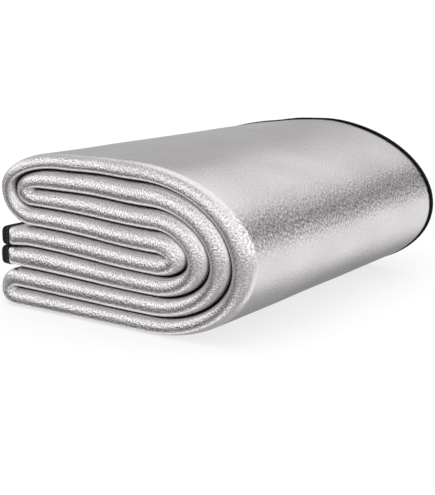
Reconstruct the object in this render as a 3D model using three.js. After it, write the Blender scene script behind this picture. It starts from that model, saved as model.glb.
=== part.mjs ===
// Foil camping mat, folded for carrying. A long sheet of foam with silver film on both faces is doubled
// across its width, so that its two long edges lie together at the back and a round fold runs along the
// front. The doubled strip is then folded in half three times along its length. Black tape binds all four
// edges of the sheet.
//
// Millimetres, +Z up. +X points to the large nested bends, +Y from the front fold to the bound long edges.
// The part stands on z = 0 with the centre of its footprint at the origin.

import * as THREE from 'three';

// Height of one doubled layer in the stack. The tables below count in these.
const LAYER = 17;
// Air between two doubled layers, and between the two leaves of one layer.
const LAYER_GAP = 0.6;
const LEAF_GAP = 0.5;
// The sheet where nothing presses on it. In the stack it is squeezed to about 8.
const LEAF = 9;
// From the front fold to the bound long edges.
const DEPTH = 308;

// Binding tape: its thickness, its cut-off outer corners, and how far it reaches in from the long edges
// and from the short ends.
const TAPE = 1;
const TAPE_CORNER = 1.6;
const LONG_REACH = 4;
const END_REACH = 9.5;
// Air between the tape and the sheet inside it, at the short ends and at the long edges.
const END_CLEAR = 0.3;
const LONG_CLEAR = 0.5;
// Slant of the tuck that closes the tape of the short ends over the corners of the sheet.
const TUCK_SLANT = 0.1;

// Facets along a straight layer, round a bend, round the front fold and round the slot inside it.
const RUN_STEPS = 6;
const BEND_STEPS = 14;
const FOLD_STEPS = 10;
const SLOT_STEPS = 4;

// Seams between neighbouring layers, from the ground up, in layers. Each runs from the start of its left
// bend to the start of its right bend, and crown is how far it bows up between them.
const SEAMS = [
  { leftX: -9.6, leftZ: 0.0, rightX: -1.1, rightZ: 0.0, crown: 0.0 },
  { leftX: -9.5, leftZ: 1.0, rightX: -0.8, rightZ: 0.89, crown: 0.0 },
  { leftX: -9.2, leftZ: 2.06, rightX: -0.6, rightZ: 1.87, crown: 0.0 },
  { leftX: -9.0, leftZ: 3.22, rightX: -0.5, rightZ: 2.89, crown: 0.0 },
  { leftX: -8.3, leftZ: 4.29, rightX: -0.5, rightZ: 3.95, crown: 0.02 },
  { leftX: -8.3, leftZ: 5.32, rightX: -0.5, rightZ: 5.07, crown: 0.02 },
  { leftX: -7.6, leftZ: 6.24, rightX: -0.8, rightZ: 6.1, crown: 0.08 },
  { leftX: -6.5, leftZ: 7.29, rightX: -1.5, rightZ: 7.29, crown: 0.07 },
  { leftX: -5.5, leftZ: 8.2, rightX: -2.4, rightZ: 8.24, crown: 0.03 },
];

// Where a seam turns over into another, or ends in a slit: the tip of each nested bend, in layers.
const BENDS = [
  { side: 'right', low: 4, high: 4, tipX: -0.2, tipZ: 3.94 },
  { side: 'right', low: 3, high: 5, tipX: 1.12, tipZ: 3.9 },
  { side: 'right', low: 2, high: 6, tipX: 2.36, tipZ: 3.9 },
  { side: 'right', low: 1, high: 7, tipX: 3.58, tipZ: 3.9 },
  { side: 'right', low: 0, high: 8, tipX: 4.88, tipZ: 3.95 },
  { side: 'left', low: 6, high: 6, tipX: -8.2, tipZ: 6.24 },
  { side: 'left', low: 5, high: 7, tipX: -9.45, tipZ: 6.18 },
  { side: 'left', low: 4, high: 8, tipX: -10.42, tipZ: 6.14 },
  { side: 'left', low: 1, high: 1, tipX: -9.65, tipZ: 1.0 },
  { side: 'left', low: 0, high: 2, tipX: -10.78, tipZ: 0.8 },
];

// The sheet's way through the stack, as layers counted from the ground. It starts at its first end on the
// left, and turns at the right and at the left by turns.
const COURSE = [3, 4, 7, 0, 1, 6, 5, 2];

// The two short ends of the sheet, in layers: the outside of the tape and the heights of its lower and
// upper face. The tape squeezes the layer over the length of the taper.
const FIRST_END = { x: -10.3, lowZ: 3.16, highZ: 4.12, taper: 1.2 };
const LAST_END = { x: -10.38, lowZ: 2.15, highZ: 3.11, taper: 1.2 };
// The front fold is round, but its nose hangs low by this share of half the layer, and round a bend it leans
// to the inside by this share, because the inner leaf has length to spare there. The lower the power, the
// more of the fold goes with its nose.
const NOSE_SAG = 0.46;
const NOSE_LEAN = 0.36;
const NOSE_POWER = 3;
// Between the left and the right bends, in layers.
const STACK_MIDDLE = -4;
// Inside the tape at the ends the fold is squared off, and its outline has this power.
const END_POWER = 0.5;

// The stack is pressed lower towards its back left corner: by this share of its height there, from where
// and over what length of the layers.
const SAG = { share: 0.076, from: -0.5, length: 8 };

const FOIL = new THREE.MeshStandardMaterial({ color: 0xbdbab8, roughness: 0.36, metalness: 0.9 });
const BLACK_TAPE = new THREE.MeshStandardMaterial({ color: 0x1c1c1e, roughness: 0.62, metalness: 0 });

// Points closer than this are one point.
const SAME_POINT = 0.003;

const mix = THREE.MathUtils.lerp;
const smooth = (t) => t * t * (3 - 2 * t);
const cross = (p, q) => new THREE.Vector3().crossVectors(p, q);

// Height of a seam at x, both in layers. Past its ends a seam goes on level.
function seamHeight(seam, x) {
  const row = SEAMS[seam];
  const t = THREE.MathUtils.clamp((x - row.leftX) / (row.rightX - row.leftX), 0, 1);
  return mix(row.leftZ, row.rightZ, smooth(t)) + row.crown * Math.sin(Math.PI * t) ** 2;
}

// A point of the section half a gap off a seam, on the layer above it or on the layer below it.
function seamPoint(seam, x, above) {
  const off = (above ? LAYER_GAP : -LAYER_GAP) / 2;
  return new THREE.Vector2(x * LAYER, seamHeight(seam, x) * LAYER + off);
}

// One face of a bend: t from 0 to 1 goes round it from its low seam to its high seam. It is two quarter
// ellipses that meet at the tip, half a gap inside or outside the line between the layers.
function bendFace(side, seams, outer) {
  const [low, high] = [Math.min(...seams), Math.max(...seams)];
  const row = BENDS.find((bend) => bend.side === side && bend.low === low && bend.high === high);
  const start = side === 'right' ? 'rightX' : 'leftX';
  const away = (side === 'right' ? 1 : -1) * (outer ? -1 : 1);
  const lower = seamPoint(low, SEAMS[low][start], outer);
  const upper = seamPoint(high, SEAMS[high][start], !outer);
  const tip = new THREE.Vector2(row.tipX * LAYER + (away * LAYER_GAP) / 2, row.tipZ * LAYER);
  return (t) => {
    const angle = (t - 0.5) * Math.PI;
    const from = angle < 0 ? lower : upper;
    const across = mix(from.x, tip.x, Math.cos(angle));
    const height = mix(tip.y, from.y, Math.abs(Math.sin(angle)));
    return new THREE.Vector2(across, height);
  };
}

// Rungs across one straight layer, from left to right. A rung joins the layer's lower face to its upper.
function runRungs(layer) {
  const [below, above] = [SEAMS[layer], SEAMS[layer + 1]];
  return Array.from({ length: RUN_STEPS + 1 }, (_, i) => {
    const t = i / RUN_STEPS;
    return {
      bottom: seamPoint(layer, mix(below.leftX, below.rightX, t), true),
      top: seamPoint(layer + 1, mix(above.leftX, above.rightX, t), false),
      inTape: false,
    };
  });
}

// Rungs across a layer that has an end of the sheet at its left, tapered to the height of its tape.
function endRungs(layer, end) {
  const right = Math.min(SEAMS[layer].rightX, SEAMS[layer + 1].rightX);
  const mouth = end.x + (END_REACH + END_CLEAR) / LAYER;
  const full = mouth + end.taper;
  const stops = [
    { x: end.x + (TAPE + END_CLEAR) / LAYER, squeeze: 1, inTape: true },
    { x: mouth, squeeze: 1, inTape: true },
    { x: mouth, squeeze: 1, inTape: false },
    { x: mix(mouth, full, 0.5), squeeze: 0.5, inTape: false },
  ];
  for (let i = 0; i <= RUN_STEPS; i += 1) {
    stops.push({ x: mix(full, right, i / RUN_STEPS), squeeze: 0, inTape: false });
  }
  return stops.map(({ x, squeeze, inTape }) => {
    const bottom = seamPoint(layer, x, true);
    const top = seamPoint(layer + 1, x, false);
    bottom.y = mix(bottom.y, end.lowZ * LAYER, squeeze);
    top.y = mix(top.y, end.highZ * LAYER, squeeze);
    return { bottom, top, inTape };
  });
}

// All rungs of the sheet from its first end to its last. The sheet's a face is the upper one wherever it
// runs to the right, so the a face is also the outside of the folded mat.
function courseRungs() {
  const rungs = [];
  COURSE.forEach((layer, i) => {
    const toRight = i % 2 === 0;
    const isFirst = i === 0;
    const isLast = i === COURSE.length - 1;
    const run = isFirst || isLast ? endRungs(layer, isFirst ? FIRST_END : LAST_END) : runRungs(layer);
    for (const { bottom, top, inTape } of toRight ? run : run.reverse()) {
      rungs.push({ a: toRight ? top : bottom, b: toRight ? bottom : top, inTape });
    }
    if (isLast) {
      return;
    }
    const next = COURSE[i + 1];
    const climbs = next > layer;
    const side = toRight ? 'right' : 'left';
    const outerA = toRight !== climbs;
    const a = bendFace(side, toRight ? [layer + 1, next] : [layer, next + 1], outerA);
    const b = bendFace(side, toRight ? [layer, next + 1] : [layer + 1, next], !outerA);
    for (let j = 1; j < BEND_STEPS; j += 1) {
      const t = climbs ? j / BEND_STEPS : 1 - j / BEND_STEPS;
      rungs.push({ a: a(t), b: b(t), inTape: false });
    }
  });
  return rungs;
}

// Measures of a rung: its middle, its direction towards the a face, half the doubled layer and half the
// air between its two leaves.
function measure({ a, b }) {
  const middle = a.clone().add(b).multiplyScalar(0.5);
  const across = a.clone().sub(b);
  const half = across.length() / 2;
  const leaf = Math.min(LEAF, half - LEAF_GAP / 2);
  return { middle, direction: across.normalize(), half, slot: half - leaf };
}

// A point of the part at depth y over a point of the section, lowered by the sag of the stack.
function settledPoint(x, y, z) {
  const left = THREE.MathUtils.clamp((SAG.from * LAYER - x) / (SAG.length * LAYER), 0, 1);
  const loss = SAG.share * (y / DEPTH) * smooth(left);
  return new THREE.Vector3(x, y, z - loss * (z - LAYER_GAP / 2));
}

// A point of the part at depth y, and n above the middle of its doubled layer.
function layerPoint({ middle, direction }, y, n) {
  return settledPoint(middle.x + direction.x * n, y, middle.y + direction.y * n);
}

// How far the nose of a rung's front fold lies off its middle, towards the b leaf, as a share of half
// the layer.
function noseDrop(i) {
  const { middle, direction } = measure(rungs[i]);
  const before = measure(rungs[Math.max(i - 1, 0)]).middle;
  const after = measure(rungs[Math.min(i + 1, rungs.length - 1)]).middle;
  const travel = after.sub(before).normalize();
  const normal = new THREE.Vector2(-travel.y, travel.x);
  normal.multiplyScalar(Math.sign(normal.dot(direction)));
  const side = Math.sign(middle.x - STACK_MIDDLE * LAYER);
  return NOSE_SAG * normal.y + NOSE_LEAN * side * normal.x;
}

// Steps round a front fold of radius 1, from the a leaf to the b leaf: forward to the nose, and up. In the
// tape the fold is squared off, and elsewhere it is a half circle with its nose moved by drop.
function foldSteps(steps, inTape, drop) {
  const power = inTape ? END_POWER : 1;
  return Array.from({ length: steps + 1 }, (_, i) => {
    const angle = Math.PI * (0.5 - i / steps);
    const forward = Math.abs(Math.cos(angle)) ** power;
    const up = Math.sign(Math.sin(angle)) * Math.abs(Math.sin(angle)) ** power;
    return [forward, inTape ? up : up - drop * forward ** NOSE_POWER];
  });
}

// The same round a centre and with a radius, as depth y and height n.
function foldArc(centre, radius, steps, inTape, drop) {
  return foldSteps(steps, inTape, drop).map(([forward, up]) => [centre - radius * forward, radius * up]);
}

// Outline of the doubled sheet across one rung: out along the a leaf, round the front fold, back along
// the b leaf and home through the slot between the leaves.
function sheetRing(rung, i) {
  const at = measure(rung);
  const inset = rung.inTape ? TAPE + END_CLEAR : 0;
  const edgeInset = TAPE + LONG_CLEAR;
  const [face, slot] = [at.half - inset, at.slot + inset];
  const [edgeFace, edgeSlot] = [at.half - edgeInset, at.slot + edgeInset];
  const edge = DEPTH - edgeInset;
  const lip = DEPTH - LONG_REACH - LONG_CLEAR;
  const profile = [
    [edge, edgeFace],
    [lip, edgeFace],
    [lip, face],
    ...foldArc(at.half, face, FOLD_STEPS, rung.inTape, noseDrop(i)),
    [lip, -face],
    [lip, -edgeFace],
    [edge, -edgeFace],
    [edge, -edgeSlot],
    [lip, -edgeSlot],
    [lip, -slot],
    ...foldArc(at.half, slot, SLOT_STEPS, rung.inTape, 0).reverse(),
    [lip, slot],
    [lip, edgeSlot],
    [edge, edgeSlot],
  ];
  return profile.map(([y, n]) => layerPoint(at, y, n));
}

// Section of the tape folded over an edge: how far in from the edge, and how high over its inner face. floor
// is how far in the bottom of its pocket lies.
function tapeSection(reach, thickness, floor) {
  return [
    [reach, 0],
    [TAPE_CORNER, 0],
    [0, TAPE_CORNER],
    [0, thickness - TAPE_CORNER],
    [TAPE_CORNER, thickness],
    [reach, thickness],
    [reach, thickness - TAPE],
    [floor, thickness - TAPE],
    [floor, TAPE],
    [reach, TAPE],
  ];
}

// Tape over a long edge, across one rung. leaf is 1 for the a leaf and -1 for the b leaf.
function longTapeRing(rung, leaf) {
  const at = measure(rung);
  const section = tapeSection(LONG_REACH, at.half - at.slot, TAPE);
  return section.map(([inward, rise]) => layerPoint(at, DEPTH - inward, leaf * (at.slot + rise)));
}

// Tape over a short end: from the back along the a leaf, round the front fold and back along the b leaf. At
// the back it is tucked in over the corners of the sheet, so its pocket ends there.
function endTapeRings(end, rung) {
  const at = measure(rung);
  const pocket = tapeSection(END_REACH, at.half - at.slot, TAPE);
  const tuck = tapeSection(END_REACH, at.half - at.slot, END_REACH - END_CLEAR);
  const corner = (up) => [
    { section: tuck, y: DEPTH, forward: 0, up },
    { section: tuck, y: DEPTH - TAPE, forward: 0, up },
    { section: pocket, y: DEPTH - TAPE - TUCK_SLANT, forward: 0, up },
  ];
  const steps = foldSteps(FOLD_STEPS, true, 0);
  const fold = steps.map(([forward, up]) => ({ section: pocket, y: at.half, forward, up }));
  const stations = [...corner(1), ...fold, ...corner(-1).reverse()];
  return stations.map(({ section, y, forward, up }) =>
    section.map(([inward, rise]) => {
      const out = at.slot + rise;
      const z = at.middle.y + at.direction.y * out * up;
      return settledPoint(end.x * LAYER + inward, y - out * forward, z);
    }),
  );
}

// Triangles over a flat ring, turned the same way round as the ring. flatten gives its points in 2-D.
function capTriangles(ring, flatten) {
  const outline = ring.map(flatten);
  const turn = Math.sign(THREE.ShapeUtils.area(outline));
  return THREE.ShapeUtils.triangulateShape(outline, []).map(([i, j, k]) => {
    const same = Math.sign(THREE.ShapeUtils.area([outline[i], outline[j], outline[k]])) === turn;
    return same ? [i, j, k] : [i, k, j];
  });
}

// A closed solid skinned over rings of equally many points, with a flat cap on the first and last ring.
// All its faces are turned outward.
function skin(rings, flatten) {
  const size = rings[0].length;
  const points = rings.flat();
  const last = points.length - size;
  const faces = [];
  for (let near = 0; near < last; near += size) {
    for (let i = 0; i < size; i += 1) {
      const j = (i + 1) % size;
      faces.push([near + i, near + size + i, near + size + j], [near + i, near + size + j, near + j]);
    }
  }
  faces.push(...capTriangles(rings[0], flatten));
  const lastCap = capTriangles(rings[rings.length - 1], flatten);
  faces.push(...lastCap.map(([i, j, k]) => [last + i, last + k, last + j]));
  const apart = (i, j) => points[i].distanceTo(points[j]) > SAME_POINT;
  const kept = faces.filter(([i, j, k]) => apart(i, j) && apart(j, k) && apart(k, i));
  const volume = kept.reduce((sum, [i, j, k]) => sum + points[i].dot(cross(points[j], points[k])), 0);
  const outward = volume > 0 ? kept : kept.map(([i, j, k]) => [i, k, j]);
  const geometry = new THREE.BufferGeometry().setFromPoints(points);
  geometry.setIndex(outward.flat());
  return geometry;
}

const rungs = courseRungs();
const openRungs = rungs.filter((rung) => !rung.inTape);
const acrossEnd = (p) => new THREE.Vector2(p.y, p.z);
const acrossBack = (p) => new THREE.Vector2(p.x, p.z);
const outerTape = openRungs.map((rung) => longTapeRing(rung, 1));
const innerTape = openRungs.map((rung) => longTapeRing(rung, -1));
const firstTape = endTapeRings(FIRST_END, rungs[0]);
const lastTape = endTapeRings(LAST_END, rungs[rungs.length - 1]);

const pieces = {
  mat: { material: FOIL, geometry: skin(rungs.map(sheetRing), acrossEnd) },
  binding_long_outer: { material: BLACK_TAPE, geometry: skin(outerTape, acrossEnd) },
  binding_long_inner: { material: BLACK_TAPE, geometry: skin(innerTape, acrossEnd) },
  binding_end_upper: { material: BLACK_TAPE, geometry: skin(firstTape, acrossBack) },
  binding_end_lower: { material: BLACK_TAPE, geometry: skin(lastTape, acrossBack) },
};

const group = new THREE.Group();
for (const [name, { material, geometry }] of Object.entries(pieces)) {
  const mesh = new THREE.Mesh(geometry, material);
  mesh.name = name;
  group.add(mesh);
}
const box = new THREE.Box3().setFromObject(group);
const middle = box.getCenter(new THREE.Vector3());
for (const mesh of group.children) {
  mesh.geometry.translate(-middle.x, -middle.y, -box.min.z);
}

export default group;
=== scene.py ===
# %% [markdown]
# # A foil camping mat, folded for carrying
# The mat is one long sheet of foam with silver film on both faces and black tape sewn over its edges. It is
# doubled across its width, which leaves a round nose along the front, and then folded in half three times
# along its length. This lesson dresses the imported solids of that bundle: the sheet is skinned again over the
# same folds with far finer steps, the tape gets its weave and its stitches, and a soft white studio gives the
# film something to mirror. The frame holds the solids in metres, so every piece is made where it belongs.

import math
from collections import namedtuple

import bpy
import numpy as np
from mathutils import Matrix, Vector


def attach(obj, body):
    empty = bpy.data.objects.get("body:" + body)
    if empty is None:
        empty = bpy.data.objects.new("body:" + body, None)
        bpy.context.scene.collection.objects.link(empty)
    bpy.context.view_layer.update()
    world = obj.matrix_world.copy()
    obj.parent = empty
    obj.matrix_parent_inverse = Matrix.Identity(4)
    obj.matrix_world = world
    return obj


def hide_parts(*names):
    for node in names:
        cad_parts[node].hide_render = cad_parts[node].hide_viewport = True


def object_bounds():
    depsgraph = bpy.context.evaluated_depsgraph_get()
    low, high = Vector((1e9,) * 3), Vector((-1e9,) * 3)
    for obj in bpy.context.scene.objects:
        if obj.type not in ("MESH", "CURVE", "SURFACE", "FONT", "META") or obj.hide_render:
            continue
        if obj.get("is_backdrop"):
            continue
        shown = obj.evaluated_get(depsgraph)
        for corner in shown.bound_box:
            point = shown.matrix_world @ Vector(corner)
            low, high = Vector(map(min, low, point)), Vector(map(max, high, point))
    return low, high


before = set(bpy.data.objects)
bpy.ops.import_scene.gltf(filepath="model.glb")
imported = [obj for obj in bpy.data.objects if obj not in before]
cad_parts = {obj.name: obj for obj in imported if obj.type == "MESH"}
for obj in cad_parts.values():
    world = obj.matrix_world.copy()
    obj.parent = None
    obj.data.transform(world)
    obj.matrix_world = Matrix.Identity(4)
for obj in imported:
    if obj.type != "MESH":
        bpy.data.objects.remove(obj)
cad_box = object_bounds()
print("nodes:", ", ".join(sorted(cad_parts)))
print("box of the solids:", [[round(x, 4) for x in corner] for corner in cad_box])

# %% [markdown]
# ## The camera
# The bundle was seen by a long lens from a little above, with the big bends turned towards us. A camera's
# place and turn can be set by a target to track, but here yaw, pitch and roll are known, so the three axes
# are worked out and put into one matrix. The focal length is known in pixels of the picture, and the sensor's
# 36 mm span the picture's longer side, so the lens in millimetres is a plain ratio.

# %% Camera
PICTURE_HEIGHT = 495
FOCAL_PIXELS = 1267.5
SENSOR_MM = 36.0
CAMERA_PLACE = Vector((0.6370, -0.9167, 0.3012))
YAW, PITCH, ROLL = (math.radians(a) for a in (35.07, 13.30, -0.24))

ahead = Vector((-math.sin(YAW) * math.cos(PITCH), math.cos(YAW) * math.cos(PITCH), -math.sin(PITCH)))
level = Vector((math.cos(YAW), math.sin(YAW), 0.0))
upright = level.cross(ahead)
right = level * math.cos(ROLL) + upright * math.sin(ROLL)
up = upright * math.cos(ROLL) - level * math.sin(ROLL)

camera = bpy.data.objects.new("camera", bpy.data.cameras.new("camera"))
camera.data.sensor_width = SENSOR_MM
camera.data.lens = FOCAL_PIXELS / PICTURE_HEIGHT * SENSOR_MM
camera.matrix_world = Matrix.Translation(CAMERA_PLACE) @ Matrix((right, up, -ahead)).transposed().to_4x4()
bpy.context.scene.collection.objects.link(camera)
bpy.context.scene.camera = camera
print(f"camera with a {camera.data.lens:.1f} mm lens, {CAMERA_PLACE.length:.2f} m from the mat")

# %% [markdown]
# ## Writing shaders as sums
# Node trees are quick to draw by hand and slow to read in a script. Two small classes help: Sketch makes any
# node from its type, its settings and what goes into its sockets, and Wire wraps one output so that plain
# Python operators add the Math nodes.

# %% Sketch and Wire


class Wire:
    """One output socket of a sketch. The operators +, - and * add Math nodes."""

    def __init__(self, sketch, socket):
        self.sketch = sketch
        self.socket = socket

    def math(self, operation, first, second):
        sockets = {0: first, 1: second}
        return self.sketch.node("ShaderNodeMath", {"operation": operation}, sockets)

    def __add__(self, other):
        return self.math("ADD", self, other)

    def __sub__(self, other):
        return self.math("SUBTRACT", self, other)

    def __rsub__(self, other):
        return self.math("SUBTRACT", other, self)

    def __mul__(self, other):
        return self.math("MULTIPLY", self, other)

    __radd__ = __add__


class Sketch:
    """A node tree that is being drawn."""

    def __init__(self, owner):
        owner.use_nodes = True
        self.tree = owner.node_tree
        self.tree.nodes.clear()

    def node(self, kind, settings=None, sockets=None, out=0):
        """Adds a node: its settings first, then a value or a wire for each named socket."""
        made = self.tree.nodes.new(kind)
        for name, value in (settings or {}).items():
            if name == "stops":
                self.set_stops(made.color_ramp, value)
            else:
                setattr(made, name, value)
        for name, value in (sockets or {}).items():
            if isinstance(value, Wire):
                self.tree.links.new(value.socket, made.inputs[name])
            else:
                made.inputs[name].default_value = value
        return Wire(self, made.outputs[out]) if len(made.outputs) else made

    @staticmethod
    def set_stops(ramp, stops):
        while len(ramp.elements) < len(stops):
            ramp.elements.new(0.5)
        for element, (position, colour) in zip(ramp.elements, stops):
            element.position = position
            element.color = (*colour, 1.0)


print("shader helpers are ready")

# %% [markdown]
# ## The silver film
# The film is a mirror that has been crinkled: it is thin metal on plastic, stuck to foam whose cells show
# through as a fine grain. A plain rough metal would blur what it mirrors evenly, and the real film sparkles
# instead, dark beside bright. Two things make that here: a bump about a millimetre wide over a fairly sharp
# metal, and specks in the colour for the facets that are too fine for a bump. Attributes of the mesh say
# where: the film is gathered round the noses and crinkled in a band round the big bend, and its colour
# carries painted shade in the grooves, under the noses and in the slot. Elsewhere it is drawn tight, and a
# little more roughness makes it satin.

# %% Film
FILM_BRIGHT = (1.0, 0.965, 0.972, 1.0)
FILM_DARK = (0.44, 0.42, 0.424, 1.0)
# painted shade: the colour the film is darkened to in its grooves, under its noses and in the slot
FILM_PAINTED_SHADE = (0.20, 0.19, 0.19, 1.0)
SPECKS_PER_METRE = 850.0
SPECK_CONTRAST = 2.0
CRINKLES_PER_METRE = 680.0
CRINKLE_CONTRAST = 3.2
GRAIN_PER_METRE = 620.0
GRAIN_STRETCH = 1.6
GRAIN_HEIGHT = 0.00022
FACE_GRAIN, BAND_GRAIN = 0.8, 1.4
PEEL_PER_METRE = 160.0
PEEL_HEIGHT = 0.00002
WEAR_PER_METRE = 22.0
WEAR_CONTRAST = 0.25
FILM_ROUGHNESS, CRUSHED_ROUGHNESS, SATIN_ROUGHNESS = 0.14, 0.10, 0.10


def silver_film():
    material = bpy.data.materials.new("silver_film")
    sketch = Sketch(material)
    place = sketch.node("ShaderNodeUVMap", {"uv_map": "sheet"})
    gathered = sketch.node("ShaderNodeAttribute", {"attribute_name": "gathered"}, out="Fac")
    crinkled = sketch.node("ShaderNodeAttribute", {"attribute_name": "crinkled"}, out="Fac")
    # painted shade, read from the mesh: how far the film's colour is darkened towards the painted shade colour
    dull = sketch.node("ShaderNodeAttribute", {"attribute_name": "dull"}, out="Fac")
    stretched = sketch.node(
        "ShaderNodeVectorMath", {"operation": "MULTIPLY"}, {0: place, 1: (1 / GRAIN_STRETCH, 1, 1)}
    )

    def noise(vector, scale, detail):
        sockets = {"Vector": vector, "Scale": scale, "Detail": detail}
        return sketch.node("ShaderNodeTexNoise", {"noise_dimensions": "2D"}, sockets)

    def blend(factor, first, second):
        sockets = {"Factor": factor, 6: first, 7: second}
        return sketch.node("ShaderNodeMix", {"data_type": "RGBA"}, sockets, out=2)

    drawn = noise(stretched, GRAIN_PER_METRE, 1.0)
    crushed = noise(place, GRAIN_PER_METRE, 1.0)
    peel = noise(place, PEEL_PER_METRE, 1.0)
    smooth_face = 1 - gathered
    grain = drawn * smooth_face * (crinkled * BAND_GRAIN + FACE_GRAIN) + crushed * gathered
    height = grain * GRAIN_HEIGHT + peel * PEEL_HEIGHT
    normal = sketch.node("ShaderNodeBump", None, {"Height": height, "Distance": 1.0})
    specks = (noise(place, SPECKS_PER_METRE, 1.0) - 0.5) * SPECK_CONTRAST * gathered
    crinkles = (noise(stretched, CRINKLES_PER_METRE, 1.0) - 0.5) * CRINKLE_CONTRAST * crinkled
    worn = (noise(place, WEAR_PER_METRE, 3.0) - 0.5) * WEAR_CONTRAST
    film_tone = blend(specks + crinkles + worn + 0.5, FILM_DARK, FILM_BRIGHT)
    satin = smooth_face * (1 - crinkled) * SATIN_ROUGHNESS
    shader = sketch.node(
        "ShaderNodeBsdfPrincipled",
        None,
        {
            # the film's colour with painted shade mixed in
            "Base Color": blend(dull, film_tone, FILM_PAINTED_SHADE),
            "Metallic": 1.0,
            "Roughness": FILM_ROUGHNESS + crushed * CRUSHED_ROUGHNESS + satin,
            "Normal": normal,
        },
    )
    sketch.node("ShaderNodeOutputMaterial", None, {"Surface": shader})
    return material


film = silver_film()
print("film:", len(film.node_tree.nodes), "nodes")

# %% [markdown]
# ## Black tape and thread
# The binding is a woven ribbon, a millimetre thick with its glue and foam edge, and it has fine ribs across
# it. The ribs follow the tape's own UV map, so they stay square to the edge round every bend. The thread is
# a shade lighter and smoother than the tape, which is how black stitches show on black cloth.

# %% Tape and thread
TAPE_COLOUR = (0.006, 0.006, 0.0065)
TAPE_WORN = (0.012, 0.0115, 0.012)
RIBS_PER_METRE = 1100.0
RIB_HEIGHT = 0.00012
FUZZ_PER_METRE = 400.0
WORN_FROM, WORN_TO = 0.4, 0.75
TAPE_ROUGHNESS, FUZZ_ROUGHNESS, TAPE_SPECULAR = 0.6, 0.2, 0.15
THREAD_COLOUR = (0.045, 0.044, 0.046)
TWISTS_PER_METRE = 2500.0
TWIST_HEIGHT = 0.0001
THREAD_ROUGHNESS, TWIST_ROUGHNESS = 0.35, 0.2


def black_tape():
    material = bpy.data.materials.new("black_tape")
    sketch = Sketch(material)
    place = sketch.node("ShaderNodeUVMap", {"uv_map": "sheet"})
    along = sketch.node("ShaderNodeSeparateXYZ", None, {"Vector": place}, out="X")
    across = sketch.node("ShaderNodeSeparateXYZ", None, {"Vector": place}, out="Y")
    turns = 2 * math.pi * RIBS_PER_METRE
    warp = sketch.node("ShaderNodeMath", {"operation": "SINE"}, {0: along * turns})
    weft = sketch.node("ShaderNodeMath", {"operation": "SINE"}, {0: across * (turns / 2)})
    fuzz = sketch.node(
        "ShaderNodeTexNoise",
        {"noise_dimensions": "2D"},
        {"Vector": place, "Scale": FUZZ_PER_METRE, "Detail": 3.0},
    )
    height = (warp * weft + fuzz) * RIB_HEIGHT
    normal = sketch.node("ShaderNodeBump", None, {"Height": height, "Distance": 1.0})
    stops = [(WORN_FROM, TAPE_COLOUR), (WORN_TO, TAPE_WORN)]
    tint = sketch.node("ShaderNodeValToRGB", {"stops": stops}, {"Fac": fuzz})
    shader = sketch.node(
        "ShaderNodeBsdfPrincipled",
        None,
        {
            "Base Color": tint,
            "Roughness": TAPE_ROUGHNESS + fuzz * FUZZ_ROUGHNESS,
            "Specular IOR Level": TAPE_SPECULAR,
            "Normal": normal,
        },
    )
    sketch.node("ShaderNodeOutputMaterial", None, {"Surface": shader})
    return material


def black_thread():
    material = bpy.data.materials.new("black_thread")
    sketch = Sketch(material)
    place = sketch.node("ShaderNodeTexCoord", out="Object")
    sockets = {"Vector": place, "Scale": TWISTS_PER_METRE, "Detail": 1.0}
    twist = sketch.node("ShaderNodeTexNoise", None, sockets)
    normal = sketch.node("ShaderNodeBump", None, {"Height": twist * TWIST_HEIGHT, "Distance": 1.0})
    shader = sketch.node(
        "ShaderNodeBsdfPrincipled",
        None,
        {
            "Base Color": (*THREAD_COLOUR, 1.0),
            "Roughness": THREAD_ROUGHNESS + twist * TWIST_ROUGHNESS,
            "Normal": normal,
        },
    )
    sketch.node("ShaderNodeOutputMaterial", None, {"Surface": shader})
    return material


tape = black_tape()
thread = black_thread()
print("tape:", len(tape.node_tree.nodes), "nodes, thread:", len(thread.node_tree.nodes), "nodes")

# %% [markdown]
# ## The folds
# Seen from the front, the bundle is a stack of doubled layers. The lines between them are seams: each runs
# level for a stretch and then turns over into another seam, or ends in a slit where the sheet is folded on
# itself. A table of seams and a table of bends, both counted in layers from the ground and from the middle
# of the stack, is all that the section needs. The sheet's course names the layers in the order in which the
# sheet passes through them.

# %% Tables of the folds
LAYER = 0.017
LAYER_GAP = 0.0006
LEAF_GAP = 0.0005
LEAF = 0.009
DEPTH = 0.308

Seam = namedtuple("Seam", "left_x left_z right_x right_z crown")
SEAMS = (
    Seam(-9.6, 0.00, -1.1, 0.00, 0.00),
    Seam(-9.5, 1.00, -0.8, 0.89, 0.00),
    Seam(-9.2, 2.06, -0.6, 1.87, 0.00),
    Seam(-9.0, 3.22, -0.5, 2.89, 0.00),
    Seam(-8.3, 4.29, -0.5, 3.95, 0.02),
    Seam(-8.3, 5.32, -0.5, 5.07, 0.02),
    Seam(-7.6, 6.24, -0.8, 6.10, 0.08),
    Seam(-6.5, 7.29, -1.5, 7.29, 0.07),
    Seam(-5.5, 8.20, -2.4, 8.24, 0.03),
)
Bend = namedtuple("Bend", "side low high tip_x tip_z")
BENDS = (
    Bend("right", 4, 4, -0.20, 3.94),
    Bend("right", 3, 5, 1.12, 3.90),
    Bend("right", 2, 6, 2.36, 3.90),
    Bend("right", 1, 7, 3.58, 3.90),
    Bend("right", 0, 8, 4.88, 3.95),
    Bend("left", 6, 6, -8.20, 6.24),
    Bend("left", 5, 7, -9.45, 6.18),
    Bend("left", 4, 8, -10.42, 6.14),
    Bend("left", 1, 1, -9.65, 1.00),
    Bend("left", 0, 2, -10.78, 0.80),
)
COURSE = (3, 4, 7, 0, 1, 6, 5, 2)
SheetEnd = namedtuple("SheetEnd", "x low_z high_z taper")
FIRST_END = SheetEnd(-10.30, 3.16, 4.12, 1.2)
LAST_END = SheetEnd(-10.38, 2.15, 3.11, 1.2)

BEND_OF = {(bend.side, bend.low, bend.high): bend for bend in BENDS}
print(len(SEAMS), "seams,", len(BENDS), "bends,", len(COURSE), "layers")

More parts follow.
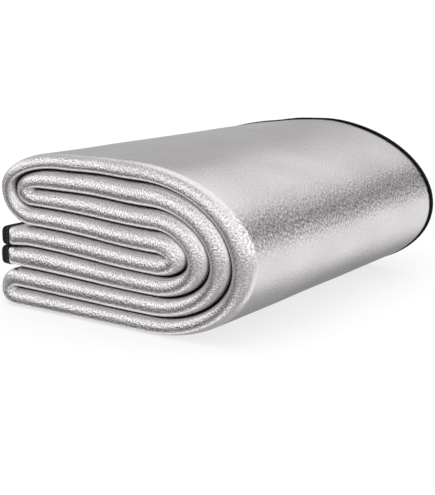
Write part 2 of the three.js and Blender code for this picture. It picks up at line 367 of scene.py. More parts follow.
# %% [markdown]
# ## Rungs across the sheet
# A rung joins the two faces of the doubled layer at one place along the sheet. Rungs are set closely along
# every run and round every bend, so that the skin over them is smooth. A bend is two quarter ellipses that
# meet at its tip. Each face lies half a gap off its seam, so the layers never touch.

# %% Rungs
RUN_STEPS = 26
BEND_STEPS = 48
TAPER_STEPS = 20
TAPE = 0.001
LONG_REACH = 0.004
END_REACH = 0.0095
END_CLEAR = 0.0003
LONG_CLEAR = 0.0005

# fold is 1 where the a face is inside a tight bend and -1 where the b face is, and turn goes from 0 to 1
# round any bend.
Rung = namedtuple("Rung", "a b in_tape fold turn")


def smooth(t):
    return t * t * (3 - 2 * t)


def mix(first, second, t):
    return first + (second - first) * t


def seam_point(number, x, above):
    seam = SEAMS[number]
    t = min(max((x - seam.left_x) / (seam.right_x - seam.left_x), 0.0), 1.0)
    z = mix(seam.left_z, seam.right_z, smooth(t)) + seam.crown * math.sin(math.pi * t) ** 2
    return np.array([x * LAYER, z * LAYER + (LAYER_GAP if above else -LAYER_GAP) / 2])


def bend_face(side, seams, outer):
    low, high = min(seams), max(seams)
    bend = BEND_OF[side, low, high]
    start = [SEAMS[n].right_x if side == "right" else SEAMS[n].left_x for n in (low, high)]
    lower = seam_point(low, start[0], outer)
    upper = seam_point(high, start[1], not outer)
    away = (1 if side == "right" else -1) * (-1 if outer else 1)
    tip = np.array([bend.tip_x * LAYER + away * LAYER_GAP / 2, bend.tip_z * LAYER])

    def point(t):
        angle = (t - 0.5) * math.pi
        begin = lower if angle < 0 else upper
        return np.array(
            [mix(begin[0], tip[0], math.cos(angle)), mix(tip[1], begin[1], abs(math.sin(angle)))]
        )

    return point


def run_rungs(layer):
    below, above = SEAMS[layer], SEAMS[layer + 1]
    for i in range(RUN_STEPS + 1):
        t = i / RUN_STEPS
        bottom = seam_point(layer, mix(below.left_x, below.right_x, t), True)
        top = seam_point(layer + 1, mix(above.left_x, above.right_x, t), False)
        yield bottom, top, False


def end_rungs(layer, end):
    far = min(SEAMS[layer].right_x, SEAMS[layer + 1].right_x)
    mouth = end.x + (END_REACH + END_CLEAR) / LAYER
    full = mouth + end.taper
    taper = [i / TAPER_STEPS for i in range(TAPER_STEPS)]
    stops = [(end.x + (TAPE + END_CLEAR) / LAYER, 1.0, True), (mouth, 1.0, True)]
    stops += [(mix(mouth, full, t), 1 - smooth(t), False) for t in taper]
    stops += [(mix(full, far, i / RUN_STEPS), 0.0, False) for i in range(RUN_STEPS + 1)]
    for x, squeeze, in_tape in stops:
        bottom = seam_point(layer, x, True)
        top = seam_point(layer + 1, x, False)
        bottom[1] = mix(bottom[1], end.low_z * LAYER, squeeze)
        top[1] = mix(top[1], end.high_z * LAYER, squeeze)
        yield bottom, top, in_tape


def course_rungs():
    """All rungs from the sheet's first end to its last. The a face is the outside of the folded mat."""
    rungs = []
    for i, layer in enumerate(COURSE):
        to_right = i % 2 == 0
        if i in (0, len(COURSE) - 1):
            run = list(end_rungs(layer, FIRST_END if i == 0 else LAST_END))
        else:
            run = list(run_rungs(layer))
        for bottom, top, in_tape in run if to_right else run[::-1]:
            a, b = (top, bottom) if to_right else (bottom, top)
            rungs.append(Rung(a, b, in_tape, 0, 0.0))
        if i == len(COURSE) - 1:
            break
        following = COURSE[i + 1]
        climbs = following > layer
        side = "right" if to_right else "left"
        outer_a = to_right != climbs
        near, far = (layer + 1, following), (layer, following + 1)
        a_seams, b_seams = (near, far) if to_right else (far, near)
        a_point = bend_face(side, a_seams, outer_a)
        b_point = bend_face(side, b_seams, not outer_a)
        tight = (a_seams[0] == a_seams[1]) - (b_seams[0] == b_seams[1])
        for j in range(1, BEND_STEPS):
            t = j / BEND_STEPS
            height = t if climbs else 1 - t
            rungs.append(Rung(a_point(height), b_point(height), False, tight, t))
    return rungs


rungs = course_rungs()
print(len(rungs), "rungs")

# %% [markdown]
# ## Measures of the rungs
# The skin needs the middle of each rung, its direction, half its length and half of the air between the two
# leaves of the doubled layer. The length along the middles is the length of the flat sheet, and it becomes
# the first coordinate of the UV map. Some rungs stand at a slant to the sheet, so the radius of the front
# nose is taken square to the sheet.

# %% Measures
a_ends = np.array([rung.a for rung in rungs])
b_ends = np.array([rung.b for rung in rungs])
in_tape = np.array([rung.in_tape for rung in rungs])
middles = (a_ends + b_ends) / 2
half = np.linalg.norm(a_ends - b_ends, axis=1) / 2
direction = (a_ends - b_ends) / (2 * half[:, None])
slot = half - np.minimum(LEAF, half - LEAF_GAP / 2)
along = np.concatenate([[0.0], np.cumsum(np.linalg.norm(np.diff(middles, axis=0), axis=1))])

travel = np.gradient(middles, axis=0)
travel /= np.maximum(np.linalg.norm(travel, axis=1), 1e-9)[:, None]
normal = np.stack([-travel[:, 1], travel[:, 0]], -1)
square = np.abs((normal * direction).sum(1))
normal *= np.sign((normal * direction).sum(1))[:, None]
NOSE_SPAN = 9
LEAST_NOSE, LARGEST_NOSE = 0.0072, 0.0092
nose = np.clip(half * square, LEAST_NOSE, LARGEST_NOSE)
padded = np.pad(nose, NOSE_SPAN // 2, mode="edge")
nose = np.convolve(padded, np.ones(NOSE_SPAN) / NOSE_SPAN, mode="valid")

sheet_length = float(along[-1])

# %% [markdown]
# ## How the bundle settles
# Nothing soft lies perfectly square. Two gentle moves bend the whole bundle, layers and tape together, so
# the gaps between the layers stay even: the stack is pressed lower at its back left corner, and a few long
# waves, drawn from a fixed seed, make every face a little uneven. Both fade out at the ground, where the mat
# has to lie flat.

# %% Settling
SAG_SHARE, SAG_FROM, SAG_LENGTH = 0.076, -0.5 * LAYER, 8 * LAYER
WAVE_COUNT = 14
WAVE_LENGTHS = (0.07, 0.2)
WAVE_HEIGHT = 0.00014
GROUND_FADE = 0.03

chance = np.random.default_rng(11)
wave_ways = chance.normal(size=(WAVE_COUNT, 3))
wave_ways /= np.linalg.norm(wave_ways, axis=1)[:, None]
wave_ways *= 2 * math.pi / chance.uniform(*WAVE_LENGTHS, size=(WAVE_COUNT, 1))
wave_starts = chance.uniform(0, 2 * math.pi, size=WAVE_COUNT)
wave_moves = chance.normal(size=(WAVE_COUNT, 3)) * WAVE_HEIGHT

outline_left = min(bend.tip_x for bend in BENDS) * LAYER + LAYER_GAP / 2
outline_right = max(bend.tip_x for bend in BENDS) * LAYER - LAYER_GAP / 2
ORIGIN = np.array([(outline_left + outline_right) / 2, DEPTH / 2, LAYER_GAP / 2])


def settled(points):
    """Points of the square stack, moved to where they lie in the settled bundle, in the frame's axes."""
    points = np.array(points, dtype=float)
    x, y = points[..., 0], points[..., 1]
    rise = points[..., 2] - LAYER_GAP / 2
    press = SAG_SHARE * (y / DEPTH) * smooth(np.clip((SAG_FROM - x) / SAG_LENGTH, 0, 1))
    points[..., 2] -= press * rise
    waves = np.sin(points @ wave_ways.T + wave_starts) @ wave_moves
    free = smooth(np.clip(rise / GROUND_FADE, 0, 1))
    return points + waves * free[..., None] - ORIGIN


print(f"the waves move a point by up to {np.abs(wave_moves).sum(0).max() * 1000:.1f} mm")

# %% [markdown]
# ## Skinning a piece
# Mat and tape are made alike: a ring of points for each step along the piece, joined to the next ring by
# quads and closed by a face at either end. The helper also turns all faces outwards, writes the UV map in
# metres of cloth and keeps hard edges hard.

# %% Skin
SHARP_ANGLE = math.radians(48)


def skin(name, rings, ring_u, ring_v, material):
    """A closed mesh over rings of equally many points. ring_u is one number a ring, ring_v one a point."""
    count, size = rings.shape[:2]
    step = np.arange(size)
    nxt = (step + 1) % size
    first = (np.arange(count - 1) * size)[:, None]
    quads = np.stack([first + step, first + size + step, first + size + nxt, first + nxt], -1).reshape(-1, 4)
    caps = [list(range(size)), list(range((count - 1) * size, count * size))[::-1]]
    points = rings.reshape(-1, 3)
    p, q, r, s = (points[quads[:, k]] for k in range(4))
    volume = np.einsum("ij,ij->", p, np.cross(q, r)) + np.einsum("ij,ij->", p, np.cross(r, s))

    v_next = np.append(ring_v[1:], ring_v[-1] + np.linalg.norm(rings[0, 0] - rings[0, -1]))
    u_of = np.stack([ring_u[:-1], ring_u[1:], ring_u[1:], ring_u[:-1]], -1)
    v_of = np.stack([ring_v, ring_v, v_next, v_next], -1)
    quad_uv = np.empty((count - 1, size, 4, 2))
    quad_uv[..., 0] = u_of[:, None, :]
    quad_uv[..., 1] = v_of[None, :, :]
    cap_uv = [[(ring_u[0], v) for v in ring_v], [(ring_u[-1], v) for v in ring_v[::-1]]]
    if volume < 0:
        quads, quad_uv = quads[:, ::-1], quad_uv[:, :, ::-1]
        caps = [cap[::-1] for cap in caps]
        cap_uv = [uv[::-1] for uv in cap_uv]

    mesh = bpy.data.meshes.new(name)
    mesh.from_pydata(points.tolist(), [], quads.tolist() + caps)
    layer = mesh.uv_layers.new(name="sheet")
    layer.data.foreach_set("uv", np.concatenate([quad_uv.ravel(), np.ravel(cap_uv)]))
    mesh.shade_smooth()
    mesh.set_sharp_from_angle(angle=SHARP_ANGLE)
    mesh.materials.append(material)
    piece = bpy.data.objects.new(name, mesh)
    bpy.context.scene.collection.objects.link(piece)
    triangles = sum(len(polygon.vertices) - 2 for polygon in mesh.polygons)
    print(f"{name}: {triangles} triangles")
    return piece


def lifted(y, n):
    """Rings at depth y and height n over the middle of each rung, settled. y and n: a row for each rung."""
    flat = middles[:, None, :] + direction[:, None, :] * n[..., None]
    return settled(np.stack([flat[..., 0], y, flat[..., 1]], -1))


# %% [markdown]
# ## The mat
# Across one rung the sheet goes out along its a leaf, round the front nose, back along its b leaf and home
# through the slot between the leaves. The nose is a half circle with its tip moved: it hangs low, and round a
# bend it leans to the inside, because the outer leaf is drawn tight there. Near the back the stitches pull
# the foam in, so the film dips towards the tape, and under the tape the sheet is thinner by the tape's own
# thickness, and by more in the slot at the short ends, where the tape has round corners. At the three tight
# bends the inner film has too much length and gathers into small puckers, which are waves round the bend.

# %% Profile of the sheet
FACE_ROWS = np.concatenate([[0.0, 0.002, 0.005, 0.01, 0.016, 0.024, 0.035], np.linspace(0.06, 1.0, 20)])
NOSE_STEPS = 40
SLOT_STEPS, SLOT_SHOULDERS = 8, 6
SLOT_FROM = -(SLOT_STEPS + 1 + SLOT_SHOULDERS)
NOSE_SAG, NOSE_LEAN, SAG_POWER = 0.46, 0.36, 3
STACK_MIDDLE = -4 * LAYER
END_POWER, SQUARE_REACH = 0.5, 0.004
HOLLOW_END = 0.003
DIP, DIP_REACH = 0.0010, 0.006
PUCKERS, PUCKER_HEIGHT, PUCKER_REACH = 7, 0.0006, 0.35


def side_by_side(*columns):
    return np.concatenate([np.broadcast_to(c, (len(rungs), c.shape[-1])) for c in columns], axis=1)


def fold_steps(angle, squared, low):
    """How far forward and how far up the front fold is, for a radius of 1. Tape squares it off."""
    power = mix(1.0, END_POWER, squared)
    forward = np.cos(angle) ** power
    up = np.sign(np.sin(angle)) * np.abs(np.sin(angle)) ** power
    return forward, up - low * (1 - squared) * forward**SAG_POWER


inset = np.where(in_tape, TAPE + END_CLEAR, 0.0)[:, None]
slot_inset = np.where(in_tape, HOLLOW_END, 0.0)[:, None]
edge_inset = TAPE + LONG_CLEAR
edge = DEPTH - edge_inset
lip = DEPTH - LONG_REACH - LONG_CLEAR
half_, slot_, nose_ = half[:, None], slot[:, None], nose[:, None]
one = np.ones((len(rungs), 1))

face_y = mix(lip, nose_, FACE_ROWS[None, :])
dip = DIP * smooth(np.clip(1 - (lip - face_y) / DIP_REACH, 0, 1))
face_n = half_ - np.maximum(inset, dip)

from_mouth = np.minimum(along, sheet_length - along) - (END_REACH - TAPE)
squared = smooth(np.clip(1 - from_mouth / SQUARE_REACH, 0, 1))[:, None]
side = np.sign(middles[:, :1] - STACK_MIDDLE)
low = NOSE_SAG * normal[:, 1:] + NOSE_LEAN * side * normal[:, :1]
angle = np.linspace(math.pi / 2, -math.pi / 2, NOSE_STEPS + 1)[None, 1:-1]
forward, upward = fold_steps(angle, squared, low)
fold = np.array([rung.fold for rung in rungs])[:, None]
turn = np.array([rung.turn for rung in rungs])[:, None]
pucker = PUCKER_HEIGHT * np.sin(PUCKERS * math.pi * turn) ** 2 * np.sin(math.pi * turn)
pucker = pucker * smooth(np.clip(PUCKER_REACH + fold * np.sin(angle), 0, 1)) * np.abs(fold)
nose_y = nose_ - (nose_ - inset - pucker) * forward
nose_n = (half_ - inset - pucker) * upward

slot_angle = np.linspace(-math.pi / 2, math.pi / 2, SLOT_STEPS + 1)
slot_y = nose_ - (slot_ + slot_inset) * np.cos(slot_angle)
slot_n = (slot_ + slot_inset) * np.sin(slot_angle)
edge_face, edge_slot = half_ - edge_inset, slot_ + np.maximum(slot_inset, edge_inset)

profile_y = side_by_side(
    edge * one, lip * one, face_y, nose_y, face_y[:, ::-1], lip * one, edge * one,
    edge * one, lip * one, lip * one, slot_y, lip * one, lip * one, edge * one,
)
profile_n = side_by_side(
    edge_face, edge_face, face_n, nose_n, -face_n[:, ::-1], -edge_face, -edge_face,
    -edge_slot, -edge_slot, -slot_ - slot_inset, slot_n, slot_ + slot_inset, edge_slot, edge_slot,
)
steps_across = np.hypot(np.diff(profile_y), np.diff(profile_n)).mean(0)
across = np.concatenate([[0.0], np.cumsum(steps_across)])
print("points across the sheet:", profile_y.shape[1])

# %% [markdown]
# ### Creases
# The film on the outside isn't quite even: it has a few soft troughs and ridges where it was pulled round the
# big bend. They could be sculpted, but with a table each one is easy to find and to move. A row says where
# the crease lies, which way it runs and how deep it is, and a bell curve makes its shape. Along is measured
# from the top of the big bend and deep from the front, both in metres.

# %% Creases on the outside
Crease = namedtuple("Crease", "along deep turn_deg half_length half_width depth")
CREASES = (
    Crease(-0.030, 0.070, 80, 0.060, 0.010, 0.00045),
    Crease(0.012, 0.190, 74, 0.080, 0.014, 0.00055),
    Crease(0.040, 0.050, 82, 0.045, 0.012, -0.00045),
    Crease(0.062, 0.120, 70, 0.050, 0.010, 0.00050),
    Crease(0.070, 0.215, 96, 0.060, 0.012, -0.00050),
    Crease(0.085, 0.260, 84, 0.035, 0.009, 0.00045),
    Crease(0.098, 0.085, 100, 0.045, 0.011, 0.00050),
    Crease(0.120, 0.170, 88, 0.070, 0.013, -0.00055),
    Crease(0.150, 0.060, 78, 0.040, 0.012, 0.00045),
    Crease(0.155, 0.240, 92, 0.050, 0.012, 0.00050),
)
CREASE_FADE = 0.02
BACK_POINTS = 2

bend_start = np.array([SEAMS[-1].right_x, SEAMS[-1].right_z]) * LAYER
crease_u = along - along[np.argmin(np.linalg.norm(a_ends - bend_start, axis=1))]
sunk = np.zeros_like(profile_y)
for crease in CREASES:
    aside = profile_y - crease.deep
    ahead_of = crease_u[:, None] - crease.along
    c, s = math.cos(math.radians(crease.turn_deg)), math.sin(math.radians(crease.turn_deg))
    length_way = (ahead_of * c + aside * s) / crease.half_length
    width_way = (-ahead_of * s + aside * c) / crease.half_width
    sunk += crease.depth * np.exp(-(length_way**2) - width_way**2)
on_face = np.zeros(profile_y.shape[1])
on_face[BACK_POINTS : BACK_POINTS + len(FACE_ROWS)] = 1.0
profile_n = profile_n - sunk * on_face * smooth(np.clip((lip - profile_y) / CREASE_FADE, 0, 1))
print(f"creases reach {sunk.max() * 1000:.2f} mm deep and {-sunk.min() * 1000:.2f} mm high")

# %% [markdown]
# ### Gathered, crinkled and painted shade
# The film's three attributes follow the height on the nose, as an angle that is 0 at the middle of a layer
# and 90 degrees at the faces. The film is gathered on the front of the nose. Painted shade darkens its colour
# on the underside of each nose, on both sides of a groove round the right bends, and in the slot. It is
# crinkled in a band round the big bend, where the foam under it is squeezed most. Numbers on the points of a
# mesh are a cheap way to steer a shader, and they need no picture.

# %% The mat itself
GRAIN_FULL, GRAIN_NONE = 25, 58
# angles in degrees where painted shade starts and is full under a hanging nose and beside the right-bend
# grooves, and how low a nose must hang to get it
SHADE_FROM, SHADE_TO, SHADE_LOW = 62, 84, 0.12
BEND_SHADE_FROM, BEND_SHADE_TO = 48, 80
OUTSIDE = (-0.17, 0.25)
CRINKLE_LEAST = 0.05
CRINKLE_AT, CRINKLE_SPAN = 0.395, 0.07

mat = skin("mat_sheet", lifted(profile_y, profile_n), along, across, film)

a_side = profile_n > 0
outside = ((crease_u > OUTSIDE[0]) & (crease_u < OUTSIDE[1]))[:, None] & a_side
slope = np.degrees(np.arcsin(np.clip(profile_n / half_, -1, 1)))
on_nose = smooth(np.clip((GRAIN_NONE - np.abs(slope)) / (GRAIN_NONE - GRAIN_FULL), 0, 1))
round_bend = (crease_u > 0)[:, None] & outside & (turn > 0)
crinkled = np.where(round_bend, np.exp(-(((turn - CRINKLE_AT) / CRINKLE_SPAN) ** 2)), 0.0)
crinkled = np.where(outside, np.maximum(crinkled, CRINKLE_LEAST), 0.0) * (1 - on_nose)

# painted shade: under each hanging nose, on both sides of a groove round the right bends, and all over the
# slot
under = smooth(np.clip((-slope * np.sign(low) - SHADE_FROM) / (SHADE_TO - SHADE_FROM), 0, 1))
under = under * smooth(np.clip(np.abs(low) / SHADE_LOW, 0, 1))
bend_shade = smooth(np.clip((np.abs(slope) - BEND_SHADE_FROM) / (BEND_SHADE_TO - BEND_SHADE_FROM), 0, 1))
bend_shade = bend_shade * np.abs(normal[:, :1]) * (side > 0)
dull = np.where(outside, 0.0, np.maximum(under, bend_shade))
dull[:, SLOT_FROM:] = 1.0
for name, values in {"gathered": on_nose, "crinkled": crinkled, "dull": dull}.items():
    mat.data.attributes.new(name, "FLOAT", "POINT").data.foreach_set("value", values.ravel())
    print(f"{name}: {values.mean():.2f} on average")

# %% [markdown]
# ## Binding tape
# The tape is folded over the edge of a leaf, so its section is a narrow U with rounded outer corners. It
# stands a little proud of the film outside, and lies flush in the slot. Two lengths follow the long edges
# through the whole stack, and two lie over the short ends, round their noses. A curve with a bevel would do
# for a round cord, but a U that changes with the leaf is simpler as rings of points, like the mat.

# %% Section of the tape
PROUD = 0.00025
LONG_CORNER = 0.0016
END_CORNER = 0.0032
CORNER_STEPS = 6
LEG_STEPS = 4


def tape_section(reach, corner, thickness, proud, floor=TAPE):
    """Places round the U of the tape: how far in from the edge, and how high over the leaf's inner face."""
    quarter = np.linspace(0, math.pi / 2, CORNER_STEPS + 1)[None, :]
    full = np.ones_like(thickness)
    top = thickness + proud
    legs = np.linspace(reach, corner, LEG_STEPS + 1)[None, :-1]
    inward = [
        legs * full,
        corner * (1 - np.sin(quarter)) * full,
        corner * (1 - np.cos(quarter)) * full,
        legs[:, ::-1] * full,
        reach * full, floor * full, floor * full, reach * full,
    ]
    rise = [
        0 * legs * full,
        corner * (1 - np.cos(quarter)) * full,
        top - corner * (1 - np.sin(quarter)),
        top + 0 * legs,
        top - TAPE, top - TAPE, TAPE * full, TAPE * full,
    ]
    return np.concatenate(inward, axis=1), np.concatenate(rise, axis=1)


def lengths_across(first, second):
    return np.concatenate([[0.0], np.cumsum(np.hypot(np.diff(first), np.diff(second)))])


print("points round the tape:", tape_section(LONG_REACH, LONG_CORNER, np.array([[LEAF]]), PROUD)[0].shape[1])

# %% [markdown]
# ### Along the long edges
# The U is set on every rung, so that the tape follows the folds as the sheet does. On top of the bundle
# nothing presses on the outer tape, so it stands prouder there, by a small table that goes by the place along
# the sheet, and under the bundle it is pressed flat. A line of points on the tape's face is kept for the
# stitches.

# %% Tape along the long edges
STITCH_INSET = 0.0018
STITCH_RISE = 0.00008
UP_STEP = 0.001
Row = namedtuple("Row", "points ups")
open_rungs = ~in_tape
usual = len(rungs) // 2


def long_tape(name, leaf, proud):
    inward, rise = tape_section(LONG_REACH, LONG_CORNER, half_ - slot_, proud)
    rings = lifted(DEPTH - inward, leaf * (slot_ + rise))[open_rungs]
    piece = skin(name, rings, along[open_rungs], lengths_across(inward[usual], rise[usual]), tape)
    y = DEPTH - LONG_REACH + STITCH_INSET + 0 * half_
    top = half_ + proud + STITCH_RISE
    points = lifted(y, leaf * top)[open_rungs, 0]
    ups = points - lifted(y, leaf * (top - UP_STEP))[open_rungs, 0]
    return piece, Row(points, ups)


PROUD_AT = {-0.17: PROUD, -0.12: 0.0011, 0.04: 0.0011, 0.09: 0.0005, 0.16: 0.0004, 0.20: PROUD}
PRESSED_PROUD, PRESSED_BELOW = -0.0003, 0.004
outer_proud = np.interp(crease_u, list(PROUD_AT), list(PROUD_AT.values()))
outer_proud = mix(PRESSED_PROUD, outer_proud, smooth(np.clip(a_ends[:, 1] / PRESSED_BELOW, 0, 1)))[:, None]
outer_tape, outer_row = long_tape("tape_long_outer", 1, outer_proud)
inner_tape, inner_row = long_tape("tape_long_inner", -1, PROUD * one)

# %% [markdown]
# ### Over the short ends
# Here the U goes across the sheet: from the back along the a leaf, round the squared nose and back along the
# b leaf. The two legs almost touch, as the leaves do. The pocket for the sheet stops just short of the back,
# where the tape is tucked in over the corner.

# %% Tape over the short ends
END_NOSE_STEPS = 28
END_LENGTH_STEPS = 10
END_SLOT = 0.00001
TUCK_SLANT = 0.0001


def end_tape(name, end, number):
    pocket_end = DEPTH - TAPE - TUCK_SLANT
    straight = np.linspace(pocket_end, half[number], END_LENGTH_STEPS, endpoint=False)
    straight = np.concatenate([[DEPTH, DEPTH - TAPE], straight])
    angle = np.linspace(math.pi / 2, -math.pi / 2, END_NOSE_STEPS + 1)
    forward, up = fold_steps(angle, 1.0, 0.0)
    flat = np.zeros(len(straight))
    y = np.concatenate([straight, np.full(END_NOSE_STEPS + 1, half[number]), straight[::-1]])[:, None]
    forward = np.concatenate([flat, forward, flat])[:, None]
    up = np.concatenate([flat + 1, up, flat - 1])[:, None]
    leaf = np.array([[half[number] - END_SLOT]])
    inward, rise = tape_section(END_REACH, END_CORNER, leaf, PROUD)
    tucked = tape_section(END_REACH, END_CORNER, leaf, PROUD, END_REACH - END_CLEAR)[0]
    inward = np.where(y > pocket_end + TUCK_SLANT / 2, tucked, inward)

    def places(inward, out):
        x = end.x * LAYER + inward + 0 * y
        z = middles[number, 1] + direction[number, 1] * out * up
        return settled(np.stack([x, y - out * forward, z], -1))

    rings = places(inward, END_SLOT + rise)
    ring_u = np.concatenate([[0.0], np.cumsum(np.linalg.norm(np.diff(rings[:, 0], axis=0), axis=1))])
    piece = skin(name, rings, ring_u, lengths_across(inward[0], rise[0]), tape)
    top = half[number] + PROUD + STITCH_RISE
    points = places(END_REACH - STITCH_INSET, np.array([[top]]))[:, 0]
    ups = points - places(END_REACH - STITCH_INSET, np.array([[top - UP_STEP]]))[:, 0]
    return piece, Row(points, ups)


upper_tape, upper_row = end_tape("tape_end_upper", FIRST_END, 0)
lower_tape, lower_row = end_tape("tape_end_lower", LAST_END, len(rungs) - 1)

# %% [markdown]
# ## Stitches
# A row of lockstitches holds the tape. Every stitch is the same short grain of thread, so this is work for
# Geometry Nodes: the row is a line of mesh edges, which becomes a curve, is cut into equal steps and gets a
# grain at each step. The grain is turned along the row, and its back is turned away from the tape, by the
# vector that each point of the line carries.

# %% Stitch tree
STITCH_PITCH = 0.0034
STITCH_LENGTH = 0.0027
STITCH_WIDTH = 0.0007
STITCH_HEIGHT = 0.00035
STITCH_SIDES, STITCH_RINGS = 8, 5


def stitch_tree():
    tree = bpy.data.node_groups.new("stitch_row", "GeometryNodeTree")
    face = tree.interface
    face.new_socket("Geometry", in_out="INPUT", socket_type="NodeSocketGeometry")
    for name in ("Pitch", "Length", "Width", "Height"):
        face.new_socket(name, in_out="INPUT", socket_type="NodeSocketFloat")
    face.new_socket("Thread", in_out="INPUT", socket_type="NodeSocketMaterial")
    face.new_socket("Geometry", in_out="OUTPUT", socket_type="NodeSocketGeometry")

    def node(kind, settings=None, sockets=None):
        made = tree.nodes.new(kind)
        for name, value in (settings or {}).items():
            setattr(made, name, value)
        for name, value in (sockets or {}).items():
            if isinstance(value, bpy.types.NodeSocket):
                tree.links.new(value, made.inputs[name])
            else:
                made.inputs[name].default_value = value
        return made

    given = node("NodeGroupInput").outputs
    curve = node("GeometryNodeMeshToCurve", None, {"Mesh": given["Geometry"]})
    points = node(
        "GeometryNodeCurveToPoints",
        {"mode": "LENGTH"},
        {"Curve": curve.outputs["Curve"], "Length": given["Pitch"]},
    )
    away = node("GeometryNodeInputNamedAttribute", {"data_type": "FLOAT_VECTOR"}, {"Name": "away"})
    forward = node(
        "FunctionNodeAlignRotationToVector", {"axis": "X"}, {"Vector": points.outputs["Tangent"]}
    )
    turned = node(
        "FunctionNodeAlignRotationToVector",
        {"axis": "Z", "pivot_axis": "X"},
        {"Rotation": forward.outputs["Rotation"], "Vector": away.outputs["Attribute"]},
    )
    ball = {"Segments": STITCH_SIDES, "Rings": STITCH_RINGS, "Radius": 0.5}
    grain = node("GeometryNodeMeshUVSphere", None, ball)
    size = node(
        "ShaderNodeCombineXYZ", None, {"X": given["Length"], "Y": given["Width"], "Z": given["Height"]}
    )
    placed = node(
        "GeometryNodeInstanceOnPoints",
        None,
        {
            "Points": points.outputs["Points"],
            "Instance": grain.outputs["Mesh"],
            "Rotation": turned.outputs["Rotation"],
            "Scale": size.outputs["Vector"],
        },
    )
    real = node("GeometryNodeRealizeInstances", None, {"Geometry": placed.outputs["Instances"]})
    dressed = node(
        "GeometryNodeSetMaterial",
        None,
        {"Geometry": real.outputs["Geometry"], "Material": given["Thread"]},
    )
    node("NodeGroupOutput", None, {"Geometry": dressed.outputs["Geometry"]})
    return tree


stitch_rows = stitch_tree()
print("stitch tree:", len(stitch_rows.nodes), "nodes")

# %% [markdown]
# ### Sewing
# Each tape gets a line of edges with the tree on it as a modifier. What comes out is kept as a plain mesh and
# the modifier is dropped, so the piece stays the same wherever it is taken.

# %% Stitches on every tape


def stitches(name, row):
    line = bpy.data.meshes.new(name + "_line")
    count = len(row.points)
    line.from_pydata(row.points.tolist(), [(i, i + 1) for i in range(count - 1)], [])
    away = line.attributes.new("away", "FLOAT_VECTOR", "POINT")
    away.data.foreach_set("vector", row.ups.ravel())
    piece = bpy.data.objects.new(name, line)
    bpy.context.scene.collection.objects.link(piece)
    modifier = piece.modifiers.new("stitches", "NODES")
    modifier.node_group = stitch_rows
    sizes = {
        "Pitch": STITCH_PITCH,
        "Length": STITCH_LENGTH,
        "Width": STITCH_WIDTH,
        "Height": STITCH_HEIGHT,
        "Thread": thread,
    }
    for item in stitch_rows.interface.items_tree:
        if item.in_out == "INPUT" and item.name in sizes:
            modifier[item.identifier] = sizes[item.name]
    made = piece.evaluated_get(bpy.context.evaluated_depsgraph_get())
    mesh = bpy.data.meshes.new_from_object(made)
    piece.modifiers.clear()
    piece.data = mesh
    mesh.name = name
    mesh.shade_smooth()
    print(f"{name}: {len(mesh.polygons)} faces")
    return piece


rows = {
    "stitches_long_outer": outer_row,
    "stitches_long_inner": inner_row,
    "stitches_end_upper": upper_row,
    "stitches_end_lower": lower_row,
}
seams_sewn = [stitches(name, row) for name, row in rows.items()]

# %% [markdown]
# ## What rides, and what it replaces
# Every piece moves with the one body. The mat and the four tapes hide the solids that they were made over.

# %% Rides
tapes = {
    "binding_long_outer": outer_tape,
    "binding_long_inner": inner_tape,
    "binding_end_upper": upper_tape,
    "binding_end_lower": lower_tape,
}
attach(mat, "root")
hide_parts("mat")
for node_name, piece in tapes.items():
    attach(piece, "root")
    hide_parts(node_name)
for piece in seams_sewn:
    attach(piece, "root")

# %% [markdown]
# ## The studio
# Film shows little of its own colour and much of the room, so the room is half of its look. The floor is pale
# and glows a little, like a light table, which keeps the shadow under the bundle faint. It is hidden from
# reflections, and the room's lower half is painted in its place, so that the underside of each nose can
# mirror a table that is bright here and dark there.

# %% Floor
FLOOR_SIZE = 24.0
FLOOR_DROP = 0.0002
FLOOR_GLOW = 0.62
FLOOR_GREY = (0.42, 0.42, 0.42, 1.0)
FLOOR_ROUGHNESS, FLOOR_SPECULAR = 0.9, 0.1
WHITE = (1.0, 1.0, 1.0, 1.0)


def pale_floor():
    material = bpy.data.materials.new("pale_floor")
    sketch = Sketch(material)
    shader = sketch.node(
        "ShaderNodeBsdfPrincipled",
        None,
        {
            "Base Color": FLOOR_GREY,
            "Roughness": FLOOR_ROUGHNESS,
            "Specular IOR Level": FLOOR_SPECULAR,
            "Emission Color": WHITE,
            "Emission Strength": FLOOR_GLOW,
        },
    )
    sketch.node("ShaderNodeOutputMaterial", None, {"Surface": shader})
    mesh = bpy.data.meshes.new("floor")
    reach = FLOOR_SIZE / 2
    corners = [(-reach, -reach), (reach, -reach), (reach, reach), (-reach, reach)]
    mesh.from_pydata([(x, y, -FLOOR_DROP) for x, y in corners], [], [(0, 1, 2, 3)])
    mesh.materials.append(material)
    floor = bpy.data.objects.new("floor", mesh)
    floor.visible_glossy = False
    bpy.context.scene.collection.objects.link(floor)
    return floor


pale_floor()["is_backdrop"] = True
print("floor:", FLOOR_SIZE, "m across")

# %% [markdown]
# ### The room
# Photographers set softboxes and dark cards round a shiny thing, so that it shows its shape. Lamps and planes
# could stand for them, but they would add grain and get in the way of other views. So the room is painted on
# the world: mid-grey walls and a table of panels, each a patch with soft edges, laid over those before it.
# Angles are degrees, azimuth from +X towards +Y and elevation from the horizon. Brightness 1 is white.

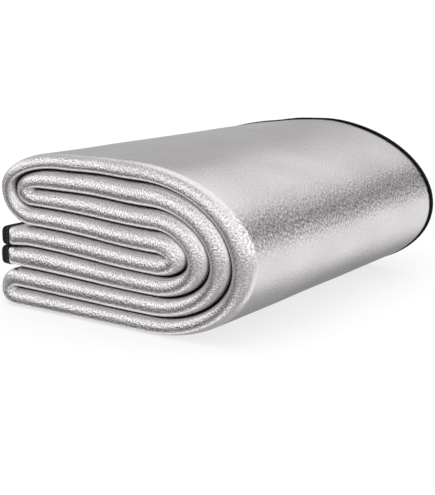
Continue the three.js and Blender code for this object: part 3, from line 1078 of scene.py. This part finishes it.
# %% Sky
Panel = namedtuple("Panel", "azimuth half_width side_edge elevation half_height top_edge brightness")
WALLS = 0.63
PANELS = {
    "overhead softbox": Panel(0, 180, 1, 90, 34, 10, 1.5),
    "back softbox": Panel(92, 16, 12, 42, 9, 8, 1.34),
    "dark card at the back right": Panel(66, 4, 15, 20.3, 1.5, 8, 0.1),
    "front wall": Panel(-55, 40, 20, 25, 20, 11, 1.45),
    "right softbox": Panel(0, 32, 14, 25, 19, 10, 1.55),
    "front left wall": Panel(-150, 45, 20, 38, 8, 8, 0.8),
    "front left softbox": Panel(-145, 40, 20, 18.5, 3.5, 10, 1.6),
    "table at the front": Panel(-62, 12, 12, -18, 14, 8, 0.9),
    "dark room at the front left": Panel(-136, 12, 16, -7, 6, 9, 0.25),
    "table at the front left": Panel(-155, 50, 20, -44, 8, 16, 1.35),
    "table at the right": Panel(62, 33, 16, -15.5, 13.5, 9, 1.22),
    "table at the lower right": Panel(10, 35, 12, -40, 22, 12, 1.4),
    "dark card on the table at the back": Panel(118, 14, 22, -27, 6, 6, 0.32),
}


def studio_sky():
    world = bpy.data.worlds.new("studio")
    bpy.context.scene.world = world
    sketch = Sketch(world)
    way = sketch.node("ShaderNodeTexCoord", out="Generated")
    x, y, z = (sketch.node("ShaderNodeSeparateXYZ", None, {"Vector": way}, out=axis) for axis in "XYZ")
    azimuth = sketch.node("ShaderNodeMath", {"operation": "ARCTAN2"}, {0: y, 1: x})
    elevation = sketch.node("ShaderNodeMath", {"operation": "ARCSINE"}, {0: z})

    def within(angle, half, edge):
        away = sketch.node("ShaderNodeMath", {"operation": "ABSOLUTE"}, {0: angle})
        limits = {"Value": away, "From Min": math.radians(half + edge), "From Max": math.radians(half)}
        return sketch.node("ShaderNodeMapRange", {"interpolation_type": "SMOOTHSTEP"}, limits)

    value = WALLS
    for panel in PANELS.values():
        turned = sketch.node(
            "ShaderNodeMath",
            {"operation": "WRAP"},
            {0: azimuth - math.radians(panel.azimuth), 1: math.pi, 2: -math.pi},
        )
        raised = elevation - math.radians(panel.elevation)
        mask = within(turned, panel.half_width, panel.side_edge)
        mask = mask * within(raised, panel.half_height, panel.top_edge)
        value = mask * (panel.brightness - value) + value
    light = sketch.node("ShaderNodeBackground", None, {"Strength": value})
    sketch.node("ShaderNodeOutputWorld", None, {"Surface": light})
    return world


sky = studio_sky()
bpy.context.scene.view_settings.view_transform = "Standard"
print("sky:", len(PANELS), "panels,", len(sky.node_tree.nodes), "nodes")

# %% Finish
dressed_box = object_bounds()
boxes = {"cad": cad_box, "dressed": dressed_box}
{name: [list(corner) for corner in box] for name, box in boxes.items()}
print("box of the dressed mat:", [[round(x, 4) for x in corner] for corner in dressed_box])
